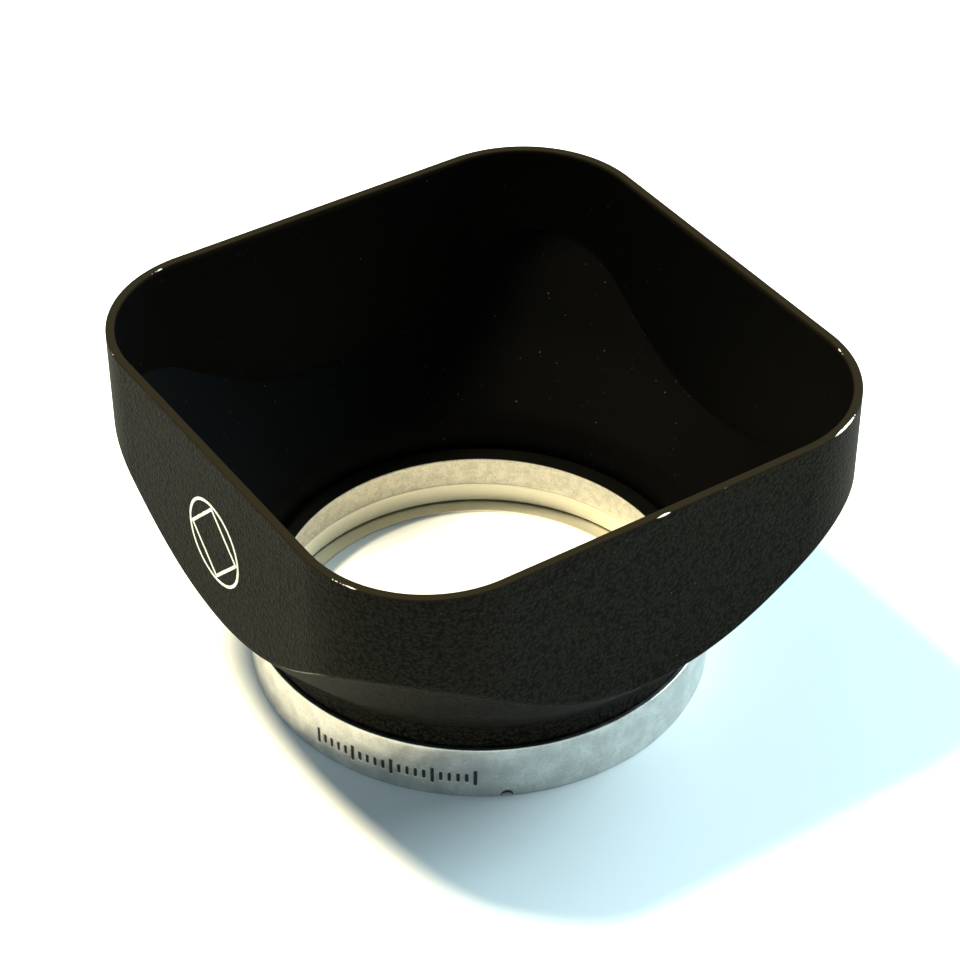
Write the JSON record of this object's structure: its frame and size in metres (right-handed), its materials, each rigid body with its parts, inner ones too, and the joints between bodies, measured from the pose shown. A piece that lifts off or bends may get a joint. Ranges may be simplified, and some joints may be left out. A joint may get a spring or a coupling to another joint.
{
  "type": "lens hood",
  "caption": "Square-mouthed funnel hood with a round push-on mounting ring, which shades a camera lens and turns on the ring so that its mouth can be levelled.",
  "frame": {"origin": "centre of the mounting ring's lower face, which the hood stands on", "axes": "+Z along the optical axis out of the mouth, X and Y square to the mouth's flat sides, the emblem on the -Y side"},
  "size_m": [0.0632, 0.0632, 0.0389],
  "materials": {
    "crinkle_paint": "black crinkle paint outside, smooth matte black inside, worn to bare metal along the rim and ridge",
    "satin_aluminium": "satin with fine speckled patina, marks filled black",
    "sleeve_aluminium": "matte, its upper flange blackened",
    "spring_steel": "dull rolled strip"
  },
  "bodies": {
    "mount": {"mounting_ring": "satin_aluminium", "retaining_sleeve": "sleeve_aluminium", "grip_ring": "spring_steel", "drag_washer": "spring_steel"},
    "hood": {"hood_body": "crinkle_paint"}
  },
  "joints": [
    {"name": "hood_turn", "type": "hinge", "parent": "mount", "child": "hood", "pos_m": [0, 0, 0.005], "axis": [0, 0, 1], "continuous": true}
  ]
}
